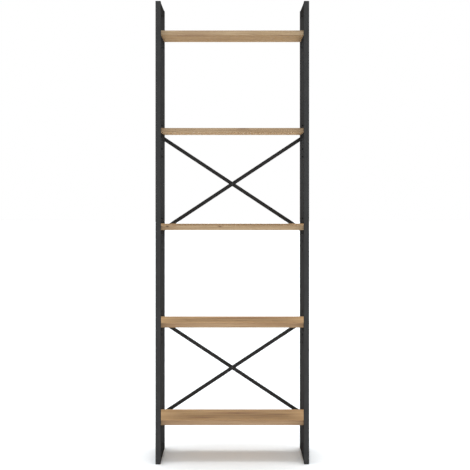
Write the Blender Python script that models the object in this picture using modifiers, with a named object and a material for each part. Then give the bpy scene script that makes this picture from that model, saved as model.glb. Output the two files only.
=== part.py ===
"""Open bookcase with two tube side frames, five boards on side rails and two rear cross braces.

Metres, +Z up. The front faces -Y, and left is -X, as seen from the front. The origin is on the
floor, below the middle of the bookcase. Levels are numbered from the bottom, 1 to LEVELS. The
bottom and top levels are fixed, and each level between them rests on four pegs.
"""

import math

import bmesh
import bpy
from mathutils import Matrix

# Overall sizes
WIDTH = 0.597
DEPTH = 0.300  # front face of the front posts to back face of the rear posts
HEIGHT = 1.800

# Clearances
SEAT_GAP = 0.0003  # between pieces that touch
SLIDE_CLEARANCE = 0.001  # beside the pieces that lift past the posts

# Tubes of the side frames
POST_FACE = 0.020
POST_DEPTH = 0.030
RAIL_HEIGHT = 0.020
WALL = 0.0015
TUBE_CORNER = 0.002
TUBE_CORNER_STEPS = 2

# Levels
LEVELS = 5
BOTTOM_BOARD_TOP = 0.1645
TOP_BOARD_DROP = 0.1112  # from the top of the bookcase down to the highest board
BOARD_THICKNESS = 0.018
BOARD_SETBACK = 0.0015  # from the outer face of a side frame to the end of a board
BOARD_EDGE = 0.001

# Pegs and their rows of holes
PEG_SHANK_RADIUS = 0.0025
PEG_SHANK_LENGTH = 0.0095
PEG_HEAD_RADIUS = 0.0045
PEG_HEAD_LENGTH = 0.009
PEG_CHAMFER = 0.0006
PEG_SIDES = 12
HOLE_CLEARANCE = 0.0003
HOLE_SIDES = 8
HOLE_PITCH = 0.032
HOLES_EACH_WAY = 2

# Plugs in the post tops and glides under the posts
CAP_PLATE = 0.002
GLIDE_PAD = 0.003
PLUG_DEPTH = 0.012
PLUG_CLEARANCE = 0.0003

# Cross braces, each of two flat bars
BRACE_WIDTH = 0.015
BRACE_THICKNESS = 0.002
BRACE_LEVELS = {"lower": (1, 2), "upper": (3, 4)}
BRACE_RAISE = {"lower": 0.004, "upper": 0.0}  # from the middle of a rail up to the bolt
BRACE_BOW_STEPS = 16
BRACE_END_STEPS = 6

# Bolts and rivets of the braces
BOLT_RADIUS = 0.0025
BOLT_REACH = 0.006  # past the inner face of the post's wall
BOLT_HEAD_RADIUS = 0.0045
BOLT_HEAD_HEIGHT = 0.0022
RIVET_HEAD_HEIGHT = 0.0012
FASTENER_CROWN = 0.7  # radius of the flat top of a domed head, as a share of the head's
FASTENER_SIDES = 12

# Places that follow from the sizes
BRACE_LAYER = SEAT_GAP + BRACE_THICKNESS
REAR_STACK = SEAT_GAP + max(2 * BRACE_LAYER + RIVET_HEAD_HEIGHT, BRACE_LAYER + BOLT_HEAD_HEIGHT)
FRAME_Y = -REAR_STACK / 2
REAR_Y = FRAME_Y + DEPTH / 2
POST_X = (WIDTH - POST_FACE) / 2
POST_Y = (DEPTH - POST_DEPTH) / 2
POST_BOTTOM = GLIDE_PAD + SEAT_GAP
POST_TOP = HEIGHT - CAP_PLATE - SEAT_GAP
BETWEEN_POSTS = DEPTH - 2 * POST_DEPTH
LEVEL_STEP = (HEIGHT - TOP_BOARD_DROP - BOTTOM_BOARD_TOP) / (LEVELS - 1)
ALONG_Y = (math.pi / 2, 0, 0)
SIDES = {"left": -1, "right": 1}
ENDS = {"front": -1, "rear": 1}


def board_top(level):
    return BOTTOM_BOARD_TOP + (level - 1) * LEVEL_STEP


def rail_middle(level):
    return board_top(level) - BOARD_THICKNESS - SEAT_GAP - RAIL_HEIGHT / 2


def peg_height(level):
    return rail_middle(level) - RAIL_HEIGHT / 2 - SEAT_GAP - PEG_HEAD_RADIUS


def is_fixed(level):
    return level in (1, LEVELS)


# Scene, collections and materials


def clear_scene():
    for old in list(bpy.data.objects):
        bpy.data.objects.remove(old, do_unlink=True)


def make_collection(name):
    collection = bpy.data.collections.new(name)
    bpy.context.scene.collection.children.link(collection)
    return collection


def make_material(name, colour, roughness, metallic):
    material = bpy.data.materials.new(name)
    material.use_nodes = True
    shader = material.node_tree.nodes["Principled BSDF"]
    shader.inputs["Base Color"].default_value = (*colour, 1.0)
    shader.inputs["Roughness"].default_value = roughness
    shader.inputs["Metallic"].default_value = metallic
    return material


clear_scene()
PARTS = make_collection("bookcase_with_adjustable_shelves")
CUTTERS = make_collection("cutters")
COATED_STEEL = make_material("coated_steel", (0.055, 0.055, 0.054), 0.55, 0.0)
OAK = make_material("oak", (0.45, 0.31, 0.19), 0.5, 0.0)
PLASTIC = make_material("black_plastic", (0.02, 0.02, 0.02), 0.6, 0.0)
BLACK_STEEL = make_material("black_steel", (0.03, 0.03, 0.03), 0.4, 1.0)


# Shapes


def add_object(name, mesh, material, location=(0, 0, 0), rotation=(0, 0, 0)):
    piece = bpy.data.objects.new(name, mesh)
    piece.location = location
    piece.rotation_euler = rotation
    mesh.materials.clear()
    mesh.materials.append(material)
    PARTS.objects.link(piece)
    return piece


def rectangle(width, depth):
    x = width / 2
    y = depth / 2
    return [(x, y), (-x, y), (-x, -y), (x, -y)]


def rounded_rectangle(width, depth, radius, steps):
    points = []
    for quarter, (sign_x, sign_y) in enumerate(((1, 1), (-1, 1), (-1, -1), (1, -1))):
        for step in range(steps + 1):
            angle = math.pi / 2 * (quarter + step / steps)
            x = sign_x * (width / 2 - radius) + radius * math.cos(angle)
            y = sign_y * (depth / 2 - radius) + radius * math.sin(angle)
            points.append((x, y))
    return points


def slot_outline(length, width, steps):
    """A flat bar's outline along X, with half-round ends centred at half the length each way."""
    points = []
    for turn, centre in ((0, length / 2), (1, -length / 2)):
        for step in range(steps + 1):
            angle = math.pi * (turn + step / steps) - math.pi / 2
            points.append((centre + width / 2 * math.cos(angle), width / 2 * math.sin(angle)))
    return points


def prism_mesh(name, outlines, length):
    """A flat outline, with any further outlines as holes, stretched along Z about the origin."""
    curve = bpy.data.curves.new(name, "CURVE")
    curve.dimensions = "2D"
    curve.fill_mode = "BOTH"
    curve.extrude = length / 2
    for outline in outlines:
        spline = curve.splines.new("POLY")
        spline.points.add(len(outline) - 1)
        for point, (x, y) in zip(spline.points, outline):
            point.co = (x, y, 0, 1)
        spline.use_cyclic_u = True
    guide = bpy.data.objects.new(name, curve)
    bpy.context.scene.collection.objects.link(guide)
    graph = bpy.context.evaluated_depsgraph_get()
    mesh = bpy.data.meshes.new_from_object(guide.evaluated_get(graph))
    bpy.data.objects.remove(guide, do_unlink=True)
    bpy.data.curves.remove(curve)
    form = bmesh.new()
    form.from_mesh(mesh)
    bmesh.ops.remove_doubles(form, verts=form.verts, dist=1e-6)
    bmesh.ops.recalc_face_normals(form, faces=form.faces)
    form.to_mesh(mesh)
    form.free()
    mesh.name = name
    return mesh


def tube_mesh(name, width, depth, length):
    outer = rounded_rectangle(width, depth, TUBE_CORNER, TUBE_CORNER_STEPS)
    inner = rectangle(width - 2 * WALL, depth - 2 * WALL)
    return prism_mesh(name, (outer, inner), length)


def turned_object(name, profile, sides, material, location, rotation):
    """A solid of revolution about its own Z. The profile's (radius, height) points run top to bottom."""
    mesh = bpy.data.meshes.new(name)
    points = [(radius, 0, height) for radius, height in profile]
    edges = [(index, index + 1) for index in range(len(points) - 1)]
    mesh.from_pydata(points, edges, [])
    piece = add_object(name, mesh, material, location, rotation)
    screw = piece.modifiers.new("turn", "SCREW")
    screw.steps = sides
    screw.render_steps = sides
    screw.use_merge_vertices = True
    screw.merge_threshold = 1e-5
    screw.use_smooth_shade = True
    return piece


def drill(name, radius, sides, length, places):
    """A cutter with one hole along Y at each place. The radius is that of the largest pin that fits."""
    form = bmesh.new()
    corner_radius = radius / math.cos(math.pi / sides)
    for x, y, z in places:
        made = bmesh.ops.create_cone(
            form, cap_ends=True, segments=sides, radius1=corner_radius, radius2=corner_radius, depth=length
        )
        turned = Matrix.Translation((x, y, z)) @ Matrix.Rotation(math.pi / 2, 4, "X")
        bmesh.ops.transform(form, matrix=turned, verts=made["verts"])
    mesh = bpy.data.meshes.new(name)
    form.to_mesh(mesh)
    form.free()
    return add_cutter(name, mesh)


def add_cutter(name, mesh):
    cutter = bpy.data.objects.new(name, mesh)
    cutter.hide_render = True
    cutter.display_type = "WIRE"
    CUTTERS.objects.link(cutter)
    return cutter


def boolean(piece, other, operation="DIFFERENCE"):
    modifier = piece.modifiers.new(other.name, "BOOLEAN")
    modifier.operation = operation
    modifier.object = other


# Side frames


def peg_hole_heights():
    heights = []
    for level in range(1, LEVELS + 1):
        if not is_fixed(level):
            for step in range(-HOLES_EACH_WAY, HOLES_EACH_WAY + 1):
                heights.append(peg_height(level) + step * HOLE_PITCH)
    return heights


def bolt_heights(bay):
    """The low and the high bolt height of a cross brace."""
    return [rail_middle(level) + BRACE_RAISE[bay] for level in BRACE_LEVELS[bay]]


def brace_ends():
    """The height of every brace end, as (bay, low or high, height)."""
    found = []
    for bay in BRACE_LEVELS:
        for place, height in zip(("low", "high"), bolt_heights(bay)):
            found.append((bay, place, height))
    return found


def make_posts():
    length = POST_TOP - POST_BOTTOM
    for end, end_sign in ENDS.items():
        for side, side_sign in SIDES.items():
            name = f"post_{end}_{side}"
            x = side_sign * POST_X
            y = FRAME_Y + end_sign * POST_Y
            mesh = tube_mesh(name, POST_FACE, POST_DEPTH, length)
            post = add_object(name, mesh, COATED_STEEL, (x, y, POST_BOTTOM + length / 2))
            facing_wall = y - end_sign * (POST_DEPTH - WALL) / 2
            places = [(x, facing_wall, height) for height in peg_hole_heights()]
            radius = PEG_SHANK_RADIUS + HOLE_CLEARANCE
            boolean(post, drill(f"{name}_peg_holes", radius, HOLE_SIDES, 3 * WALL, places))
            if end == "rear":
                back_wall = y + (POST_DEPTH - WALL) / 2
                places = [(x, back_wall, height) for _, _, height in brace_ends()]
                radius = BOLT_RADIUS + HOLE_CLEARANCE
                boolean(post, drill(f"{name}_bolt_holes", radius, HOLE_SIDES, 3 * WALL, places))


def make_rail(name, side_sign, height, end_gap):
    mesh = tube_mesh(name, POST_FACE, RAIL_HEIGHT, BETWEEN_POSTS - 2 * end_gap)
    add_object(name, mesh, COATED_STEEL, (side_sign * POST_X, FRAME_Y, height), ALONG_Y)


def make_rails():
    for side, side_sign in SIDES.items():
        make_rail(f"rail_foot_{side}", side_sign, POST_BOTTOM + RAIL_HEIGHT / 2, SEAT_GAP)
        make_rail(f"rail_top_{side}", side_sign, POST_TOP - RAIL_HEIGHT / 2, SEAT_GAP)
        for level in range(1, LEVELS + 1):
            end_gap = SEAT_GAP if is_fixed(level) else SLIDE_CLEARANCE
            make_rail(f"level_{level}_rail_{side}", side_sign, rail_middle(level), end_gap)


def plug_mesh(name, plate):
    """A plate under the post's section, with a plug above it that goes inside the tube."""
    outline = rounded_rectangle(POST_FACE, POST_DEPTH, TUBE_CORNER, TUBE_CORNER_STEPS)
    mesh = prism_mesh(name, (outline,), plate)
    form = bmesh.new()
    form.from_mesh(mesh)
    bmesh.ops.dissolve_limit(form, angle_limit=0.01, verts=form.verts, edges=form.edges)
    form.faces.ensure_lookup_table()
    top = max(form.faces, key=lambda face: face.calc_center_median().z)
    bmesh.ops.inset_region(form, faces=[top], thickness=WALL + PLUG_CLEARANCE)
    made = bmesh.ops.extrude_face_region(form, geom=[top])
    corners = [item for item in made["geom"] if isinstance(item, bmesh.types.BMVert)]
    bmesh.ops.translate(form, verts=corners, vec=(0, 0, PLUG_DEPTH))
    bmesh.ops.delete(form, geom=[top], context="FACES")
    bmesh.ops.recalc_face_normals(form, faces=form.faces)
    form.to_mesh(mesh)
    form.free()
    return mesh


def make_plugs():
    """The glide under each post, and the same kind of plug turned over in its top."""
    for end, end_sign in ENDS.items():
        for side, side_sign in SIDES.items():
            x = side_sign * POST_X
            y = FRAME_Y + end_sign * POST_Y
            name = f"glide_{end}_{side}"
            add_object(name, plug_mesh(name, GLIDE_PAD), PLASTIC, (x, y, GLIDE_PAD / 2))
            name = f"cap_{end}_{side}"
            turned_over = (math.pi, 0, 0)
            add_object(name, plug_mesh(name, CAP_PLATE), PLASTIC, (x, y, HEIGHT - CAP_PLATE / 2), turned_over)


# Boards and pegs


def make_boards():
    for level in range(1, LEVELS + 1):
        name = f"level_{level}_board"
        form = bmesh.new()
        bmesh.ops.create_cube(form, size=1)
        size = (WIDTH - 2 * BOARD_SETBACK, BETWEEN_POSTS - 2 * SLIDE_CLEARANCE, BOARD_THICKNESS)
        bmesh.ops.scale(form, vec=size, verts=form.verts)
        mesh = bpy.data.meshes.new(name)
        form.to_mesh(mesh)
        form.free()
        middle = board_top(level) - BOARD_THICKNESS / 2
        board = add_object(name, mesh, OAK, (0, FRAME_Y, middle))
        bevel = board.modifiers.new("eased_edges", "BEVEL")
        bevel.width = BOARD_EDGE


def make_pegs():
    """Pegs along Y, each with its origin on the post's wall and its head towards the other post."""
    profile = [
        (0, PEG_HEAD_LENGTH),
        (PEG_HEAD_RADIUS - PEG_CHAMFER, PEG_HEAD_LENGTH),
        (PEG_HEAD_RADIUS, PEG_HEAD_LENGTH - PEG_CHAMFER),
        (PEG_HEAD_RADIUS, SEAT_GAP),
        (PEG_SHANK_RADIUS, SEAT_GAP),
        (PEG_SHANK_RADIUS, PEG_CHAMFER - PEG_SHANK_LENGTH),
        (PEG_SHANK_RADIUS - PEG_CHAMFER, -PEG_SHANK_LENGTH),
        (0, -PEG_SHANK_LENGTH),
    ]
    for level in range(1, LEVELS + 1):
        if is_fixed(level):
            continue
        for end, end_sign in ENDS.items():
            for side, side_sign in SIDES.items():
                place = (side_sign * POST_X, FRAME_Y + end_sign * BETWEEN_POSTS / 2, peg_height(level))
                toward_other_post = (end_sign * math.pi / 2, 0, 0)
                name = f"peg_{level}_{end}_{side}"
                turned_object(name, profile, PEG_SIDES, BLACK_STEEL, place, toward_other_post)


# Cross braces


def bow(share):
    """How far a bar stands off at a share of the way from its end to its middle: level at both."""
    return share * share * (3 - 2 * share)


def side_outline(length, rise):
    """A bar seen on edge, along X. It lies on Y = 0 and its middle stands off by the rise."""
    front = []
    for step in range(BRACE_BOW_STEPS + 1):
        along = step / BRACE_BOW_STEPS
        share = 1 - abs(2 * along - 1)
        front.append((length * (along - 0.5), rise * bow(share)))
    if not rise:
        front = [front[0], front[-1]]
    back = [(x, y + BRACE_THICKNESS) for x, y in reversed(front)]
    return front + back


def make_bar(bay, slope, rise):
    low, high = bolt_heights(bay)
    across = 2 * POST_X
    span = math.hypot(across, high - low)
    tilt = -math.atan2(high - low, across) * slope
    middle = (low + high) / 2
    name = f"brace_{bay}_{'rising' if slope > 0 else 'falling'}"
    outline = side_outline(span + BRACE_WIDTH, rise)
    mesh = prism_mesh(name, (outline,), 2 * BRACE_WIDTH)
    place = (0, REAR_Y + SEAT_GAP, middle)
    bar = add_object(name, mesh, COATED_STEEL, place, (0, tilt, 0))
    stock = slot_outline(span, BRACE_WIDTH, BRACE_END_STEPS)
    trimmer = add_cutter(f"{name}_outline", prism_mesh(f"{name}_outline", (stock,), DEPTH))
    trimmer.location = place
    trimmer.rotation_euler = (math.pi / 2, tilt, 0)
    boolean(bar, trimmer, "INTERSECT")
    left, right = (low, high) if slope > 0 else (high, low)
    places = [(0, REAR_Y, middle), (-POST_X, REAR_Y, left), (POST_X, REAR_Y, right)]
    radius = BOLT_RADIUS + HOLE_CLEARANCE
    boolean(bar, drill(f"{name}_holes", radius, FASTENER_SIDES, 2 * REAR_STACK, places))


def domed_head(height, base):
    """The profile of a domed head that stands on the base height, from its axis to its rim."""
    return [
        (0, base + height),
        (BOLT_HEAD_RADIUS * FASTENER_CROWN, base + height),
        (BOLT_HEAD_RADIUS, base + height / 2),
        (BOLT_HEAD_RADIUS, base),
    ]


def make_braces():
    toward_back = (-math.pi / 2, 0, 0)
    for bay in BRACE_LEVELS:
        make_bar(bay, 1, 0)
        make_bar(bay, -1, BRACE_LAYER)
    bolt = domed_head(BOLT_HEAD_HEIGHT, BRACE_LAYER + SEAT_GAP)
    bolt += [
        (BOLT_RADIUS, BRACE_LAYER + SEAT_GAP),
        (BOLT_RADIUS, -WALL - BOLT_REACH),
        (0, -WALL - BOLT_REACH),
    ]
    for bay, place, height in brace_ends():
        for side, side_sign in SIDES.items():
            name = f"brace_bolt_{bay}_{place}_{side}"
            location = (side_sign * POST_X, REAR_Y, height)
            turned_object(name, bolt, FASTENER_SIDES, BLACK_STEEL, location, toward_back)
    rivet = domed_head(RIVET_HEAD_HEIGHT, 2 * BRACE_LAYER + SEAT_GAP)
    rivet += [(BOLT_RADIUS, 2 * BRACE_LAYER + SEAT_GAP), (BOLT_RADIUS, 0)]
    rivet += [(radius, -height) for radius, height in reversed(domed_head(RIVET_HEAD_HEIGHT, 0))]
    for bay in BRACE_LEVELS:
        location = (0, REAR_Y, sum(bolt_heights(bay)) / 2)
        turned_object(f"brace_rivet_{bay}", rivet, FASTENER_SIDES, BLACK_STEEL, location, toward_back)


make_posts()
make_rails()
make_plugs()
make_boards()
make_pegs()
make_braces()
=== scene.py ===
"""Looks of the open bookcase: coated tube frames, oak-faced boards, pegs, plugs, bolts and braces.

Metres, +Z up. The front faces -Y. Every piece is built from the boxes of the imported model.
"""

import math

import bmesh
import bpy
from mathutils import Matrix, Vector


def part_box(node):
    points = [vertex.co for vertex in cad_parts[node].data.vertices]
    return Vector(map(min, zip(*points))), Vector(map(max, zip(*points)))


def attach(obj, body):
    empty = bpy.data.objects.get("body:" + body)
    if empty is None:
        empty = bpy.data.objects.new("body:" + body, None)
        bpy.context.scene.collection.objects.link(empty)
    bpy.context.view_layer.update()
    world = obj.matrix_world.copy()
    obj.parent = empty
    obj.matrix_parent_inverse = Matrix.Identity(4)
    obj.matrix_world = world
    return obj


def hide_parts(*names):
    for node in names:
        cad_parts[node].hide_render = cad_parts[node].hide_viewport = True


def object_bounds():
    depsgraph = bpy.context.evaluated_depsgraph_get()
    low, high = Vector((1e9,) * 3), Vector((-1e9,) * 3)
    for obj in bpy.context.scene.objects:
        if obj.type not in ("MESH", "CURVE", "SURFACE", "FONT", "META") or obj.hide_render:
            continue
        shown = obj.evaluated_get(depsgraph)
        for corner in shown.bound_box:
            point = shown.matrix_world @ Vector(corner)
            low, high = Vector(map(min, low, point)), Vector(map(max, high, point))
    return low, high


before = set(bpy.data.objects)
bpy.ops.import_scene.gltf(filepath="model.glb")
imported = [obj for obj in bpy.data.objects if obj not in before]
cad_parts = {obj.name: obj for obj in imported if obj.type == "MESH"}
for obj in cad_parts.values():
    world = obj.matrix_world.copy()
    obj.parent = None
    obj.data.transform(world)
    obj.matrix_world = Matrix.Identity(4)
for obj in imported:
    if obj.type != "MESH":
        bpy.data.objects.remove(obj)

CAD_LOW, CAD_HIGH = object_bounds()
MM = 0.001
SIDES = ("left", "right")
ENDS = ("front", "rear")
LEVELS = (1, 2, 3, 4, 5)
FIXED_LEVELS = (1, 5)
LIFTING_LEVELS = (2, 3, 4)
BAYS = ("lower", "upper")

# Sizes of the details
TUBE_WALL = 1.5 * MM
TUBE_CORNER = 2.0 * MM
CORNER_STEPS = 6
SEAT_GAP = 0.3 * MM
SEAT_CLOSED = 0.25 * MM  # how much of a seat gap a resting piece closes
WELD_OVERLAP = 0.05 * MM
HOLE_RADIUS = 2.8 * MM
HOLE_STEPS = 20
HOLE_PITCH = 32 * MM
HOLES_EACH_WAY = 2
BAND_THICKNESS = 1.0 * MM
BAND_EDGE = 0.35 * MM
CORE_EDGE = 0.15 * MM
PLUG_DEPTH = 10 * MM
PLUG_CORNER = 1 * MM
PLATE_EDGE = 0.8 * MM
RAIL_PLUG_EDGE = 0.5 * MM
RAIL_PLUG_RECESS = 0.2 * MM
BAR_WIDTH = 15 * MM
BAR_THICKNESS = 2 * MM
BAR_EDGE = 0.35 * MM
SCREW_HEAD_RADIUS = 3.6 * MM
SCREW_HEAD_HEIGHT = 1.7 * MM
SCREW_FROM_MIDDLE = 75 * MM
WELD_SIZE = 1.7 * MM
WELD_RIPPLES = 13
WELD_STEPS = 60
WELD_ROOT = 0.2 * MM  # how far it reaches into the corner
PEG_SHANK_RADIUS = 2.5 * MM
PEG_HEAD_LENGTH = 8.7 * MM
PEG_ROUNDING = 0.7 * MM
PEG_SMALL_CHAMFER = 0.2 * MM
BOLT_SHANK_RADIUS = 2.5 * MM
BOLT_HEAD_HEIGHT = 2.2 * MM
BOLT_CHAMFER = 0.5 * MM
BOLT_FLAT = 0.42  # radius of the flat round the socket, as a share of the head's
SOCKET_RADIUS = 1.75 * MM
SOCKET_DEPTH = 1.3 * MM
RIVET_HEAD_HEIGHT = 1.2 * MM

# Studio
FLOOR_SIZE = 60
CAMERA_DISTANCE = 4.739  # in front of the bookcase
CAMERA_HEIGHT = 1.0908
SIDE_LIGHT = 0.45  # of the light from the front and the rear


# Mesh tools


def rounded_rectangle(width, depth, radius, steps):
    points = []
    for quarter, (sign_x, sign_y) in enumerate(((1, 1), (-1, 1), (-1, -1), (1, -1))):
        for step in range(steps + 1):
            angle = math.pi / 2 * (quarter + step / steps)
            x = sign_x * (width / 2 - radius) + radius * math.cos(angle)
            y = sign_y * (depth / 2 - radius) + radius * math.sin(angle)
            points.append((x, y))
    return points


def ring(radius, steps):
    angles = [math.tau * i / steps for i in range(steps)]
    return [(radius * math.cos(angle), radius * math.sin(angle)) for angle in angles]


def loft(rings, closed=False):
    """A bmesh skin through rings of points of the same count.

    The ends are capped, unless the skin is closed from the last ring to the first.
    """
    form = bmesh.new()
    rows = [[form.verts.new(point) for point in points] for points in rings]
    count = len(rows[0])
    pairs = list(zip(rows, rows[1:]))
    if closed:
        pairs.append((rows[-1], rows[0]))
    for low, high in pairs:
        for i in range(count):
            j = (i + 1) % count
            form.faces.new((low[i], low[j], high[j], high[i]))
    if not closed:
        form.faces.new(list(reversed(rows[0])))
        form.faces.new(rows[-1])
    bmesh.ops.recalc_face_normals(form, faces=form.faces)
    return form


def tube_form(width, depth, length):
    """An open tube along Z, with its wall showing at both ends."""
    outer = rounded_rectangle(width, depth, TUBE_CORNER, CORNER_STEPS)
    inside = (width - 2 * TUBE_WALL, depth - 2 * TUBE_WALL)
    inner = rounded_rectangle(*inside, TUBE_CORNER - TUBE_WALL, CORNER_STEPS)
    half = length / 2
    loops = [(outer, -half), (outer, half), (inner, half), (inner, -half)]
    return loft([[(x, y, z) for x, y in outline] for outline, z in loops], closed=True)


def box_form(size, edge, segments=3):
    form = bmesh.new()
    bmesh.ops.create_cube(form, size=1)
    bmesh.ops.scale(form, vec=size, verts=form.verts)
    bmesh.ops.bevel(
        form, geom=form.edges[:], offset=edge, segments=segments, profile=0.5, affect="EDGES"
    )
    return form


def turned_form(profile, steps):
    """A solid of revolution about Z, from (radius, height) pairs that start and end on the axis."""
    form = bmesh.new()
    rows = []
    for radius, height in profile:
        if radius:
            rows.append([form.verts.new((x, y, height)) for x, y in ring(radius, steps)])
        else:
            rows.append([form.verts.new((0, 0, height))])
    for low, high in zip(rows, rows[1:]):
        for i in range(steps):
            j = (i + 1) % steps
            corners = [low[i % len(low)], low[j % len(low)]]
            corners += [high[j % len(high)], high[i % len(high)]]
            form.faces.new(list(dict.fromkeys(corners)))
    bmesh.ops.recalc_face_normals(form, faces=form.faces)
    return form


def moved(form, matrix):
    bmesh.ops.transform(form, matrix=matrix, verts=form.verts)
    return form


def joined(forms):
    """One bmesh that holds all the given ones."""
    whole = bmesh.new()
    for form in forms:
        mesh = bpy.data.meshes.new("part")
        form.to_mesh(mesh)
        form.free()
        whole.from_mesh(mesh)
        bpy.data.meshes.remove(mesh)
    return whole


def to_mesh(form, name):
    mesh = bpy.data.meshes.new(name)
    form.to_mesh(mesh)
    form.free()
    return mesh


def cut_form(form, cutter):
    """The form with the cutter taken away."""
    scene = bpy.context.scene.collection
    body = bpy.data.objects.new("body", to_mesh(form, "body"))
    tool = bpy.data.objects.new("tool", to_mesh(cutter, "tool"))
    for helper in (body, tool):
        scene.objects.link(helper)
    modifier = body.modifiers.new("cut", "BOOLEAN")
    modifier.object = tool
    graph = bpy.context.evaluated_depsgraph_get()
    result = bmesh.new()
    result.from_mesh(body.evaluated_get(graph).to_mesh())
    for helper in (body, tool):
        mesh = helper.data
        bpy.data.objects.remove(helper, do_unlink=True)
        bpy.data.meshes.remove(mesh)
    return result


def add_piece(name, form, material, body, nodes=(), place=(0, 0, 0), sharp=35):
    """A finished piece that rides on a body, with its flats shaded even and its rounds soft."""
    mesh = to_mesh(form, name)
    mesh.materials.append(material)
    mesh.shade_smooth()
    mesh.set_sharp_from_angle(angle=math.radians(sharp))
    piece = bpy.data.objects.new(name, mesh)
    piece.location = place
    bpy.context.scene.collection.objects.link(piece)
    even = piece.modifiers.new("even_shading", "WEIGHTED_NORMAL")
    even.keep_sharp = True
    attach(piece, body)
    if nodes:
        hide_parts(*nodes)
    return piece


def size_and_middle(node):
    low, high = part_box(node)
    return high - low, (low + high) / 2


# Material tools


class Recipe:
    """A node material built up in reading order."""

    def __init__(self, name):
        self.material = bpy.data.materials.new(name)
        self.material.use_nodes = True
        self.tree = self.material.node_tree
        self.shader = self.tree.nodes["Principled BSDF"]

    def node(self, kind, inputs=(), **settings):
        made = self.tree.nodes.new(kind)
        for key, value in settings.items():
            setattr(made, key, value)
        for key, value in dict(inputs).items():
            self.feed(made.inputs[key], value)
        return made

    def feed(self, socket, value):
        if isinstance(value, bpy.types.NodeSocket):
            self.tree.links.new(value, socket)
        elif value is not None:
            socket.default_value = value

    def set(self, **values):
        for key, value in values.items():
            self.feed(self.shader.inputs[key.replace("_", " ")], value)

    def place(self, shift=(0, 0, 0), scale=(1, 1, 1)):
        """Object coordinates in metres, scaled and then shifted."""
        coordinates = self.node("ShaderNodeTexCoord").outputs["Object"]
        inputs = {"Vector": coordinates, "Location": shift, "Scale": scale}
        return self.node("ShaderNodeMapping", inputs).outputs["Vector"]

    def noise(self, vector, scale, detail=2, roughness=0.5):
        inputs = {"Vector": vector, "Scale": scale, "Detail": detail, "Roughness": roughness}
        return self.node("ShaderNodeTexNoise", inputs).outputs["Fac"]

    def math(self, operation, first, second=None, third=None, clamp=False):
        made = self.node("ShaderNodeMath", operation=operation, use_clamp=clamp)
        for socket, value in zip(made.inputs, (first, second, third)):
            self.feed(socket, value)
        return made.outputs[0]

    def spread(self, value, low, high, new_low=0.0, new_high=1.0):
        inputs = {"Value": value, "From Min": low, "From Max": high}
        inputs |= {"To Min": new_low, "To Max": new_high}
        return self.node("ShaderNodeMapRange", inputs).outputs["Result"]

    def mix(self, factor, first, second, blend="MIX"):
        made = self.node("ShaderNodeMix", data_type="RGBA", blend_type=blend)
        self.feed(made.inputs["Factor"], factor)
        self.feed(made.inputs[6], first)
        self.feed(made.inputs[7], second)
        return made.outputs[2]

    def distance(self, vector, centre, scale):
        """How far a point is from a centre, with each axis counted at its own scale."""
        kind = "ShaderNodeVectorMath"
        offset = self.node(kind, {0: vector, 1: centre}, operation="SUBTRACT").outputs[0]
        scaled = self.node(kind, {0: offset, 1: scale}, operation="MULTIPLY").outputs[0]
        return self.node(kind, {0: scaled}, operation="LENGTH").outputs["Value"]

    def bump(self, height, distance, strength=1.0, normal=None):
        inputs = {"Height": height, "Distance": distance, "Strength": strength, "Normal": normal}
        return self.node("ShaderNodeBump", inputs).outputs["Normal"]


def shade(red, green, blue):
    return (red, green, blue, 1.0)


def grey(value):
    return shade(value, value, value)


# Metals and plastics


def powder_coat(name, depth):
    """Fine-textured charcoal powder coat with an orange-peel skin and faint mottling.

    depth darkens it, from 0 to 1. On rails and welds it is painted shade; on braces, a darker coat.
    """
    recipe = Recipe(name)
    here = recipe.place()
    mottle = recipe.noise(here, 22, 4, 0.6)
    grain = recipe.noise(here, 900, 2, 0.6)
    tone = recipe.mix(recipe.spread(mottle, 0.3, 0.7), grey(0.036), grey(0.043))
    tone = recipe.mix(recipe.spread(grain, 0.35, 0.75, 0, 0.35), tone, grey(0.054))
    # Darkening by depth: painted shade on the rails and welds, the own darker coat of the braces.
    tone = recipe.mix(depth, tone, grey(0.010))
    peel = recipe.noise(here, 420, 2, 0.55)
    normal = recipe.bump(peel, 0.00012, 0.6)
    normal = recipe.bump(grain, 0.00004, 0.5, normal)
    roughness = recipe.spread(mottle, 0.3, 0.7, 0.66, 0.76)
    recipe.set(Base_Color=tone, Roughness=roughness, Normal=normal)
    recipe.shader.inputs["Specular IOR Level"].default_value = 0.0
    return recipe.material


def moulded_plastic():
    recipe = Recipe("moulded_plastic")
    here = recipe.place()
    texture = recipe.noise(here, 1400, 2, 0.5)
    cloud = recipe.noise(here, 60, 3, 0.5)
    tone = recipe.mix(recipe.spread(cloud, 0.3, 0.7), grey(0.014), grey(0.024))
    roughness = recipe.spread(cloud, 0.3, 0.7, 0.52, 0.68)
    recipe.set(Base_Color=tone, Roughness=roughness, Normal=recipe.bump(texture, 0.00005, 0.6))
    return recipe.material


def black_oxide():
    recipe = Recipe("black_oxide")
    here = recipe.place()
    cloud = recipe.noise(here, 300, 4, 0.6)
    patches = recipe.spread(cloud, 0.3, 0.7)
    tone = recipe.mix(patches, shade(0.018, 0.018, 0.019), shade(0.045, 0.044, 0.043))
    roughness = recipe.spread(cloud, 0.3, 0.7, 0.34, 0.5)
    normal = recipe.bump(cloud, 0.00003, 0.4)
    recipe.set(Base_Color=tone, Roughness=roughness, Metallic=0.6, Normal=normal)
    return recipe.material


# Oak

RING_WIDTH = 5.2 * MM


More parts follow.
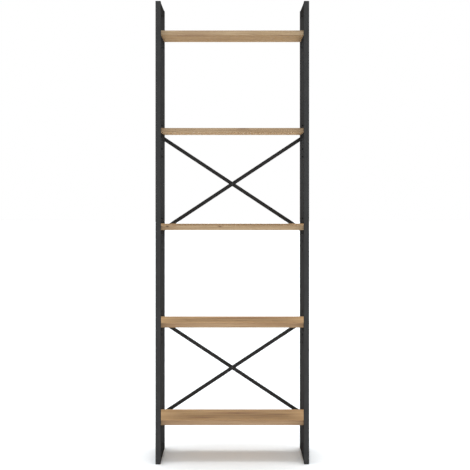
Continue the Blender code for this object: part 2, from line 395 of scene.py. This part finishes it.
def oak(name, tint, shift, pith, knots=(), stains=()):
    """Oak with its grain along X, cut from a log whose pith runs at (y, z) outside the board.

    shift moves the board to its own stretch of the noise. Each knot is (x, y, z, radius), and each
    stain of darker wood is (x, y, z, half length, half width).
    """
    recipe = Recipe(name)
    here = recipe.place()
    apart = recipe.node("ShaderNodeSeparateXYZ", {"Vector": here})
    along, across, up = apart.outputs
    sway = recipe.node(
        "ShaderNodeTexNoise",
        {"Vector": recipe.place(shift, (1.1, 5, 5)), "Scale": 1.0, "Detail": 3, "Roughness": 0.45},
    )
    swing = recipe.node("ShaderNodeSeparateColor", {"Color": sway.outputs["Color"]})
    swing_y = recipe.math("MULTIPLY_ADD", swing.outputs[0], 0.075, -0.0375)
    swing_z = recipe.math("MULTIPLY_ADD", swing.outputs[1], 0.060, -0.030)
    from_pith_y = recipe.math("ADD", recipe.math("SUBTRACT", across, pith[0]), swing_y)
    from_pith_z = recipe.math("ADD", recipe.math("SUBTRACT", up, pith[1]), swing_z)
    from_pith_z = recipe.math("MULTIPLY_ADD", along, 0.035, from_pith_z)
    squares = recipe.math("MULTIPLY", from_pith_y, from_pith_y)
    squares = recipe.math("MULTIPLY_ADD", from_pith_z, from_pith_z, squares)
    reach = recipe.math("SQRT", squares)
    knot_shade = None
    for x, y, z, radius in knots:
        away = recipe.distance(here, (x, y, z), (0.45, 1, 1))
        reach = recipe.math("ADD", reach, recipe.spread(away, 0, 5 * radius, 2.4 * radius, 0))
        spot = recipe.spread(away, radius * 0.3, radius * 1.4, 1, 0)
        knot_shade = spot if knot_shade is None else recipe.math("MAXIMUM", knot_shade, spot)
    phase = recipe.math("MULTIPLY", reach, 1 / RING_WIDTH)
    year = recipe.math("FRACT", phase)
    early = recipe.math("SUBTRACT", 1, recipe.spread(year, 0.0, 0.42, 0, 1), clamp=True)
    late = recipe.spread(year, 0.55, 1.0, 0, 1)
    fibre = recipe.noise(recipe.place(shift, (9, 420, 420)), 1.0, 4, 0.6)
    streak = recipe.noise(recipe.place(shift, (2.2, 90, 90)), 1.0, 3, 0.55)
    broad = recipe.noise(recipe.place(shift, (2.6, 24, 60)), 1.0, 3, 0.6)
    cloud = recipe.noise(recipe.place(shift, (3.0, 11, 11)), 1.0, 2, 0.5)
    pore = recipe.noise(recipe.place(shift, (38, 1100, 1100)), 1.0, 1, 0.4)
    more_in_early = recipe.spread(early, 0, 1, 0.25, 1)
    pore = recipe.math("MULTIPLY", recipe.spread(pore, 0.60, 0.72), more_in_early)
    patches = recipe.spread(cloud, 0.32, 0.68)
    tone = recipe.mix(patches, shade(0.440, 0.282, 0.150), shade(0.545, 0.370, 0.214))
    tone = recipe.mix(recipe.math("MULTIPLY", early, 0.36), tone, shade(0.300, 0.172, 0.086))
    tone = recipe.mix(recipe.math("MULTIPLY", late, 0.30), tone, shade(0.565, 0.380, 0.222))
    tone = recipe.mix(recipe.spread(streak, 0.42, 0.72, 0, 0.60), tone, shade(0.330, 0.196, 0.102))
    tone = recipe.mix(recipe.spread(broad, 0.46, 0.66, 0, 0.55), tone, shade(0.315, 0.178, 0.092))
    tone = recipe.mix(recipe.spread(broad, 0.46, 0.30, 0, 0.40), tone, shade(0.590, 0.402, 0.234))
    for x, y, z, half_length, half_width in stains:
        away = recipe.distance(here, (x, y, z), (1 / half_length, 1 / half_width, 1 / half_width))
        near = recipe.spread(away, 0.15, 1.0, 1, 0)
        depth = recipe.math("MULTIPLY", near, recipe.spread(streak, 0.3, 0.7, 0.4, 0.75))
        tone = recipe.mix(depth, tone, shade(0.225, 0.115, 0.068))
    tone = recipe.mix(recipe.spread(fibre, 0.35, 0.75, 0, 0.30), tone, shade(0.232, 0.143, 0.075))
    tone = recipe.mix(recipe.math("MULTIPLY", pore, 0.5), tone, shade(0.118, 0.066, 0.035))
    if knot_shade is not None:
        depth = recipe.math("MULTIPLY", knot_shade, 0.65)
        tone = recipe.mix(depth, tone, shade(0.085, 0.045, 0.024))
    tone = recipe.mix(1.0, tone, tint, "MULTIPLY")
    relief = recipe.math("MULTIPLY_ADD", fibre, 0.35, recipe.math("MULTIPLY", early, -0.25))
    relief = recipe.math("MULTIPLY_ADD", pore, -0.8, relief)
    roughness = recipe.math("MULTIPLY_ADD", fibre, 0.16, 0.62)
    recipe.set(Base_Color=tone, Roughness=roughness, Normal=recipe.bump(relief, 0.00008, 0.4))
    recipe.shader.inputs["Specular IOR Level"].default_value = 0.05
    return recipe.material


COAT = powder_coat("powder_coat", 0.0)
# The rails and welds get a darker copy of the posts' coat: painted shade, not a different paint.
RAIL_COAT_PAINTED_SHADE = powder_coat("powder_coat_rails_painted_shade", 0.35)
BRACE_COAT = powder_coat("powder_coat_braces", 0.25)
PLASTIC = moulded_plastic()
BLACK = black_oxide()

# Side frames


def peg_rows():
    heights = []
    steps = range(-HOLES_EACH_WAY, HOLES_EACH_WAY + 1)
    for level in LIFTING_LEVELS:
        _, middle = size_and_middle(f"peg_{level}_front_left")
        heights += [middle.z + step * HOLE_PITCH for step in steps]
    return heights


def drill_form(places):
    """Cutters along Y for the peg holes, through one wall of the tube."""
    turn = Matrix.Rotation(math.pi / 2, 4, "X")
    forms = []
    for place in places:
        form = bmesh.new()
        bmesh.ops.create_cone(
            form,
            cap_ends=True,
            segments=HOLE_STEPS,
            radius1=HOLE_RADIUS,
            radius2=HOLE_RADIUS,
            depth=3 * TUBE_WALL,
        )
        forms.append(moved(form, Matrix.Translation(place) @ turn))
    return joined(forms)


def make_posts():
    for end in ENDS:
        toward_other = 1 if end == "front" else -1
        for side in SIDES:
            name = f"post_{end}_{side}"
            size, middle = size_and_middle(name)
            form = tube_form(size.x, size.y, size.z)
            wall = toward_other * (size.y - TUBE_WALL) / 2
            places = [(0, wall, height - middle.z) for height in peg_rows()]
            form = cut_form(form, drill_form(places))
            add_piece(f"{name}_tube", form, COAT, "frame", [name], middle)


def make_rail(name, body, welded):
    """A rail along Y.

    A welded one closes the seam at each post, and one under a board closes most of the gap there.
    """
    size, middle = size_and_middle(name)
    length = size.y + 2 * (SEAT_GAP + WELD_OVERLAP if welded else 0)
    under_board = name.startswith("level")
    height = size.z + (SEAT_CLOSED if under_board else 0)
    form = tube_form(size.x, height, length)
    moved(form, Matrix.Rotation(math.pi / 2, 4, "X"))
    place = middle + Vector((0, 0, (height - size.z) / 2))
    # Rails wear the darker copy of the coat, which is painted shade.
    add_piece(f"{name}_tube", form, RAIL_COAT_PAINTED_SHADE, body, [name], place)


def make_rails():
    for side in SIDES:
        make_rail(f"rail_foot_{side}", "frame", True)
        make_rail(f"rail_top_{side}", "frame", True)
        for level in LEVELS:
            fixed = level in FIXED_LEVELS
            make_rail(f"level_{level}_rail_{side}", "frame" if fixed else f"level_{level}", fixed)


def weld_form(width, toward_y, toward_z):
    """A rippled fillet along X in the corner between a rail and a post."""
    rings = []
    for step in range(WELD_STEPS + 1):
        along = step / WELD_STEPS
        x = width * (along - 0.5)
        end_fade = math.sqrt(max(0.06, 1 - abs(2 * along - 1) ** 6))
        size = WELD_SIZE * end_fade * (1 + 0.10 * math.sin(math.tau * along * WELD_RIPPLES))
        points = [(x, -toward_y * WELD_ROOT, -toward_z * WELD_ROOT)]
        for turn in range(7):
            angle = math.pi / 2 * turn / 6
            swell = size * (0.72 + 0.28 * abs(math.cos(2 * angle)))
            y = toward_y * swell * math.cos(angle)
            points.append((x, y, toward_z * swell * math.sin(angle)))
        rings.append(points)
    return loft(rings)


def make_welds():
    """One piece for each side frame, with a fillet at both ends of each welded rail."""
    rails = (("rail_foot", 1), ("rail_top", -1), ("level_1_rail", -1), ("level_5_rail", -1))
    for side in SIDES:
        forms = []
        for rail, toward_z in rails:
            low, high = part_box(f"{rail}_{side}")
            z = high.z if toward_z > 0 else low.z
            for y, toward_y in ((low.y - SEAT_GAP, 1), (high.y + SEAT_GAP, -1)):
                form = weld_form(high.x - low.x - 2 * TUBE_CORNER, toward_y, toward_z)
                forms.append(moved(form, Matrix.Translation(((low.x + high.x) / 2, y, z))))
        # Welds wear the rails' darker copy of the coat, which is painted shade.
        add_piece(f"welds_{side}", joined(forms), RAIL_COAT_PAINTED_SHADE, "frame", sharp=60)


def plug_form(width, depth, plate):
    """A crowned plate with its bottom at zero, and the plug that goes up into the tube."""
    outline = rounded_rectangle(width, depth, TUBE_CORNER, CORNER_STEPS)
    edge = PLATE_EDGE
    rings = []
    for step in range(6):
        angle = math.pi / 2 * step / 5
        inset = edge * (1 - math.sin(angle))
        scale_x = 1 - 2 * inset / width
        scale_y = 1 - 2 * inset / depth
        height = edge * (1 - math.cos(angle))
        rings.append([(x * scale_x, y * scale_y, height) for x, y in outline])
    rings.append([(x, y, plate) for x, y in outline])
    inside = (width - 2 * TUBE_WALL - SEAT_GAP, depth - 2 * TUBE_WALL - SEAT_GAP)
    plug = rounded_rectangle(*inside, PLUG_CORNER, CORNER_STEPS)
    rings.append([(x, y, plate) for x, y in plug])
    rings.append([(x, y, plate + PLUG_DEPTH) for x, y in plug])
    return loft(rings)


def make_plugs():
    for end in ENDS:
        for side in SIDES:
            post = f"post_{end}_{side}"
            size, middle = size_and_middle(post)
            post_low, post_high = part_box(post)
            glide = f"glide_{end}_{side}"
            form = plug_form(size.x, size.y, post_low.z - SEAT_GAP)
            place = Vector((middle.x, middle.y, 0))
            add_piece(f"{glide}_pad", form, PLASTIC, "frame", [glide], place)
            cap = f"cap_{end}_{side}"
            _, cap_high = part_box(cap)
            form = plug_form(size.x, size.y, cap_high.z - post_high.z - SEAT_GAP)
            moved(form, Matrix.Rotation(math.pi, 4, "X"))
            place = Vector((middle.x, middle.y, cap_high.z))
            add_piece(f"{cap}_plate", form, PLASTIC, "frame", [cap], place)


# Boards, rail ends and screws

BOARD_LOOKS = {
    1: {
        "face": (1.09, 1.08, 1.00),
        "band": (0.800, 0.810, 0.850),
        "shift": (3.1, 0.4, 1.3),
        "pith": (0.03, -0.085),
        "knots": [(0.020, 0.036, 0.009, 0.005)],
        "stains": [
            (0.02, 0.038, 0.009, 0.15, 0.030),
            (-0.12, -0.055, 0.009, 0.08, 0.020),
            (0.19, 0.010, 0.009, 0.08, 0.018),
        ],
    },
    2: {
        "face": (1.20, 1.20, 1.10),
        "band": (0.820, 0.835, 0.872),
        "shift": (7.7, 2.2, 0.6),
        "pith": (-0.02, -0.120),
        "knots": [(-0.19, 0.05, 0.009, 0.004)],
        "stains": [(0.05, 0.06, 0.009, 0.22, 0.050)],
    },
    3: {
        "face": (1.00, 1.00, 0.92),
        "band": (0.885, 0.978, 1.065),
        "shift": (1.9, 5.3, 2.9),
        "pith": (0.05, -0.070),
        "knots": [(-0.048, -0.119, 0.005, 0.0021), (-0.254, -0.119, 0.005, 0.0025)],
        "stains": [(-0.048, -0.119, 0.005, 0.014, 0.005), (-0.254, -0.119, 0.005, 0.012, 0.005)],
    },
    4: {
        "face": (1.00, 1.00, 0.92),
        "band": (0.748, 0.802, 0.876),
        "shift": (5.2, 3.8, 4.1),
        "pith": (-0.04, -0.100),
        "knots": [],
        "stains": [(0.04, -0.119, 0.006, 0.030, 0.006)],
    },
    5: {
        "face": (0.845, 0.832, 0.730),
        "band": (0.932, 1.050, 1.180),
        "shift": (9.4, 1.1, 3.7),
        "pith": (0.01, -0.140),
        "knots": [],
        "stains": [(-0.17, -0.10, -0.009, 0.09, 0.030), (0.21, -0.10, -0.009, 0.08, 0.022)],
    },
}


def make_board(level):
    name = f"level_{level}_board"
    body = "frame" if level in FIXED_LEVELS else f"level_{level}"
    size, middle = size_and_middle(name)
    looks = BOARD_LOOKS[level]
    marks = (looks["knots"], looks["stains"])
    face = oak(f"oak_face_{level}", shade(*looks["face"]), looks["shift"], looks["pith"], *marks)
    band_shift = [value + 4.5 for value in looks["shift"]]
    band_pith = (looks["pith"][0], looks["pith"][1] + 0.03)
    band = oak(f"oak_band_{level}", shade(*looks["band"]), band_shift, band_pith, *marks)
    core_size = (size.x - 2 * BAND_THICKNESS, size.y - 2 * BAND_THICKNESS, size.z)
    core = box_form(core_size, CORE_EDGE, 2)
    add_piece(f"{name}_core", core, face, body, [name], middle)
    bands = []
    for sign in (-1, 1):
        long_band = box_form((size.x, BAND_THICKNESS, size.z), BAND_EDGE, 3)
        reach = (0, sign * (size.y - BAND_THICKNESS) / 2, 0)
        bands.append(moved(long_band, Matrix.Translation(reach)))
        end_band = box_form((BAND_THICKNESS, core_size[1], size.z), BAND_EDGE, 3)
        reach = (sign * (size.x - BAND_THICKNESS) / 2, 0, 0)
        bands.append(moved(end_band, Matrix.Translation(reach)))
    add_piece(f"{name}_bands", joined(bands), band, body, place=middle)


def screw_form():
    """A pan head below zero with a cross recess, as it shows under a rail."""
    dome = []
    for step in range(7):
        angle = math.pi / 2 * step / 6
        height = SCREW_HEAD_HEIGHT * (0.35 + 0.65 * math.cos(angle))
        dome.append((SCREW_HEAD_RADIUS * math.sin(angle), -height))
    form = turned_form(dome + [(SCREW_HEAD_RADIUS, 0.1 * MM), (0, 0.1 * MM)], 28)
    recess = []
    for turn in (0, math.pi / 2):
        blade = box_form((3.6 * MM, 0.8 * MM, 2 * MM), 0.05 * MM, 1)
        moved(blade, Matrix.Rotation(turn, 4, "Z"))
        recess.append(moved(blade, Matrix.Translation((0, 0, -SCREW_HEAD_HEIGHT))))
    for blade in recess:
        form = cut_form(form, blade)
    return form


def make_screws(level):
    body = "frame" if level in FIXED_LEVELS else f"level_{level}"
    forms = []
    for side in SIDES:
        size, middle = size_and_middle(f"level_{level}_rail_{side}")
        for sign in (-1, 1):
            place = middle + Vector((0, sign * SCREW_FROM_MIDDLE, -size.z / 2))
            turn = Matrix.Rotation(0.4 * level + sign, 4, "Z")
            forms.append(moved(screw_form(), Matrix.Translation(place) @ turn))
    add_piece(f"level_{level}_screws", joined(forms), BLACK, body)


def make_rail_plugs(level):
    """Plastic inserts in the open ends of the rails of a level that lifts out."""
    forms = []
    for side in SIDES:
        size, middle = size_and_middle(f"level_{level}_rail_{side}")
        less = 2 * TUBE_WALL + SEAT_GAP
        inner = Vector((size.x - less, PLUG_DEPTH, size.z - less))
        for sign in (-1, 1):
            reach = size.y / 2 - PLUG_DEPTH / 2 - RAIL_PLUG_RECESS
            place = middle + Vector((0, sign * reach, 0))
            forms.append(moved(box_form(inner, RAIL_PLUG_EDGE, 3), Matrix.Translation(place)))
    add_piece(f"level_{level}_rail_plugs", joined(forms), PLASTIC, f"level_{level}")


# Pegs and brace fasteners


def make_pegs():
    for level in LIFTING_LEVELS:
        for end in ENDS:
            for side in SIDES:
                name = f"peg_{level}_{end}_{side}"
                size, middle = size_and_middle(name)
                head = size.x / 2
                tip = -size.y / 2
                top = size.y / 2
                under_head = top - PEG_HEAD_LENGTH
                profile = [(0, top)]
                for step in range(5):
                    angle = math.pi / 2 * step / 4
                    radius = head - PEG_ROUNDING + PEG_ROUNDING * math.sin(angle)
                    profile.append((radius, top - PEG_ROUNDING + PEG_ROUNDING * math.cos(angle)))
                profile += [(head, under_head + PEG_SMALL_CHAMFER)]
                profile += [(head - PEG_SMALL_CHAMFER, under_head)]
                profile += [(PEG_SHANK_RADIUS, under_head), (PEG_SHANK_RADIUS, tip + PEG_ROUNDING)]
                profile += [(PEG_SHANK_RADIUS - PEG_ROUNDING, tip), (0, tip)]
                turn = -1 if end == "front" else 1
                form = moved(turned_form(profile, 32), Matrix.Rotation(turn * math.pi / 2, 4, "X"))
                add_piece(f"{name}_pin", form, BLACK, name, [name], middle)


def make_bolts():
    for bay in BAYS:
        for place in ("low", "high"):
            for side in SIDES:
                name = f"brace_bolt_{bay}_{place}_{side}"
                size, middle = size_and_middle(name)
                head = size.x / 2
                profile = [(0, 0), (head * BOLT_FLAT, 0)]
                for step in range(2, 9):
                    angle = math.pi / 2 * step / 8
                    height = -BOLT_HEAD_HEIGHT * 0.85 * (1 - math.cos(angle))
                    profile.append((head * math.sin(angle), height))
                profile += [(head, -BOLT_HEAD_HEIGHT), (BOLT_SHANK_RADIUS, -BOLT_HEAD_HEIGHT)]
                profile += [(BOLT_SHANK_RADIUS, BOLT_CHAMFER - size.y)]
                profile += [(BOLT_SHANK_RADIUS - BOLT_CHAMFER, -size.y), (0, -size.y)]
                form = cut_form(turned_form(profile, 36), socket_form())
                moved(form, Matrix.Rotation(-math.pi / 2, 4, "X"))
                spot = middle + Vector((0, size.y / 2, 0))
                add_piece(f"{name}_head", form, BLACK, "frame", [name], spot)


def socket_form():
    """The cutter of a bolt's hexagon socket, half of it above the head."""
    form = bmesh.new()
    bmesh.ops.create_cone(
        form,
        cap_ends=True,
        segments=6,
        radius1=SOCKET_RADIUS,
        radius2=SOCKET_RADIUS,
        depth=2 * SOCKET_DEPTH,
    )
    return form


def make_rivets():
    for bay in BAYS:
        name = f"brace_rivet_{bay}"
        size, middle = size_and_middle(name)
        head = size.x / 2
        half = size.y / 2
        profile = []
        for step in range(9):
            angle = math.pi / 2 * step / 8
            dip = RIVET_HEAD_HEIGHT * 0.9 * (1 - math.cos(angle))
            profile.append((head * math.sin(angle), half - dip))
        profile += [(head, half - RIVET_HEAD_HEIGHT), (BOLT_SHANK_RADIUS, half - RIVET_HEAD_HEIGHT)]
        profile += [(radius, -height) for radius, height in reversed(profile)]
        form = moved(turned_form(profile, 36), Matrix.Rotation(-math.pi / 2, 4, "X"))
        add_piece(f"{name}_body", form, BLACK, "frame", [name], middle)


# Cross braces


def bar_form(span, bow):
    """A flat bar along X with round ends and eased edges. Its middle stands off by the bow."""
    half = span / 2
    radius = BAR_WIDTH / 2
    stations = []
    end_steps = 10
    for step in range(1, end_steps + 1):
        angle = math.pi / 2 * step / end_steps
        stations.append((-half - radius * math.cos(angle), radius * math.sin(angle)))
    middle_steps = 40
    for step in range(1, middle_steps):
        stations.append((-half + span * step / middle_steps, radius))
    stations += [(-x, width) for x, width in reversed(stations[:end_steps])]
    rings = []
    for x, width in stations:
        share = max(0.0, 1 - abs(x) / half)
        y = bow * share * share * (3 - 2 * share)
        edge = min(BAR_EDGE, 0.6 * width)
        section = rounded_rectangle(2 * width, BAR_THICKNESS, edge, 3)
        rings.append([(x, y + BAR_THICKNESS / 2 + across, up) for up, across in section])
    return loft(rings)


def make_braces():
    for bay in BAYS:
        for lean, slope in (("rising", 1), ("falling", -1)):
            name = f"brace_{bay}_{lean}"
            low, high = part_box(name)
            across = high.x - low.x - BAR_WIDTH
            rise = high.z - low.z - BAR_WIDTH
            bow = high.y - low.y - BAR_THICKNESS
            form = bar_form(math.hypot(across, rise), bow)
            moved(form, Matrix.Rotation(-slope * math.atan2(rise, across), 4, "Y"))
            place = Vector((0, low.y, (low.z + high.z) / 2))
            add_piece(f"{name}_bar", form, BRACE_COAT, "frame", [name], place)


# Stage


def make_stage():
    bpy.ops.mesh.primitive_plane_add(size=FLOOR_SIZE, location=(0, 0, 0))
    floor = bpy.context.object
    floor.name = "floor"
    recipe = Recipe("floor")
    speckle = recipe.noise(recipe.place(), 40, 2, 0.5)
    patches = recipe.spread(speckle, 0.3, 0.7)
    tone = recipe.mix(patches, shade(0.915, 0.950, 0.975), shade(0.930, 0.965, 0.990))
    recipe.set(Base_Color=tone, Roughness=0.9)
    floor.data.materials.append(recipe.material)


def larger_of(tree, first, second):
    made = tree.nodes.new("ShaderNodeMath")
    made.operation = "MAXIMUM"
    tree.links.new(first, made.inputs[0])
    tree.links.new(second, made.inputs[1])
    return made.outputs[0]


def make_world():
    """A white studio whose light is dimmer from the sides, from above and from below.

    Only the light is dimmer there: the background that a camera sees is white all round.
    """
    world = bpy.data.worlds.new("studio")
    world.use_nodes = True
    tree = world.node_tree
    direction = tree.nodes.new("ShaderNodeTexCoord").outputs["Generated"]
    apart = tree.nodes.new("ShaderNodeSeparateXYZ")
    tree.links.new(direction, apart.inputs[0])
    walls = []
    for start, end in ((0.40, 0.85), (0.20, -0.60)):
        wall = tree.nodes.new("ShaderNodeMapRange")
        wall.interpolation_type = "SMOOTHSTEP"
        inputs = {"From Min": start, "From Max": end, "To Min": SIDE_LIGHT, "To Max": 1.0}
        for key, value in inputs.items():
            wall.inputs[key].default_value = value
        tree.links.new(apart.outputs["Y"], wall.inputs["Value"])
        walls.append(wall.outputs["Result"])
    seen = tree.nodes.new("ShaderNodeLightPath").outputs["Is Camera Ray"]
    strength = larger_of(tree, seen, larger_of(tree, *walls))
    background = tree.nodes["Background"]
    background.inputs["Color"].default_value = (1, 1, 1, 1)
    tree.links.new(strength, background.inputs["Strength"])
    bpy.context.scene.world = world


def add_lamp(data, place, turn):
    lamp = bpy.data.objects.new(data.name, data)
    lamp.location = place
    lamp.rotation_euler = turn
    bpy.context.scene.collection.objects.link(lamp)


def make_lights():
    """A wide silk overhead, a little behind the bookcase, and a softbox in front."""
    overhead = bpy.data.lights.new("overhead_silk", "SUN")
    overhead.energy = 2.25
    overhead.angle = math.radians(36)
    add_lamp(overhead, (0, 0, 4), (math.radians(-3.5), 0, 0))
    front = bpy.data.lights.new("front_softbox", "AREA")
    front.shape = "RECTANGLE"
    front.size = 3.0
    front.size_y = 2.0
    front.energy = 27
    add_lamp(front, (0, -5.2, 1.2), (math.radians(90), 0, 0))


def make_camera():
    """A level camera in front, a little above the bookcase's half height, with a lens shift."""
    data = bpy.data.cameras.new("camera")
    data.sensor_width = 36
    data.lens = 93.5
    data.shift_x = 0.00574
    data.shift_y = -0.1096
    data.clip_end = 100
    camera = bpy.data.objects.new("camera", data)
    camera.location = (0, CAD_LOW.y - CAMERA_DISTANCE, CAMERA_HEIGHT)
    camera.rotation_euler = (math.pi / 2, 0, 0)
    bpy.context.scene.collection.objects.link(camera)
    bpy.context.scene.camera = camera
    bpy.context.scene.view_settings.view_transform = "Standard"


make_posts()
make_rails()
make_welds()
make_plugs()
for board_level in LEVELS:
    make_board(board_level)
    make_screws(board_level)
for lifting_level in LIFTING_LEVELS:
    make_rail_plugs(lifting_level)
make_pegs()
make_bolts()
make_rivets()
make_braces()
make_stage()
make_world()
make_lights()
make_camera()
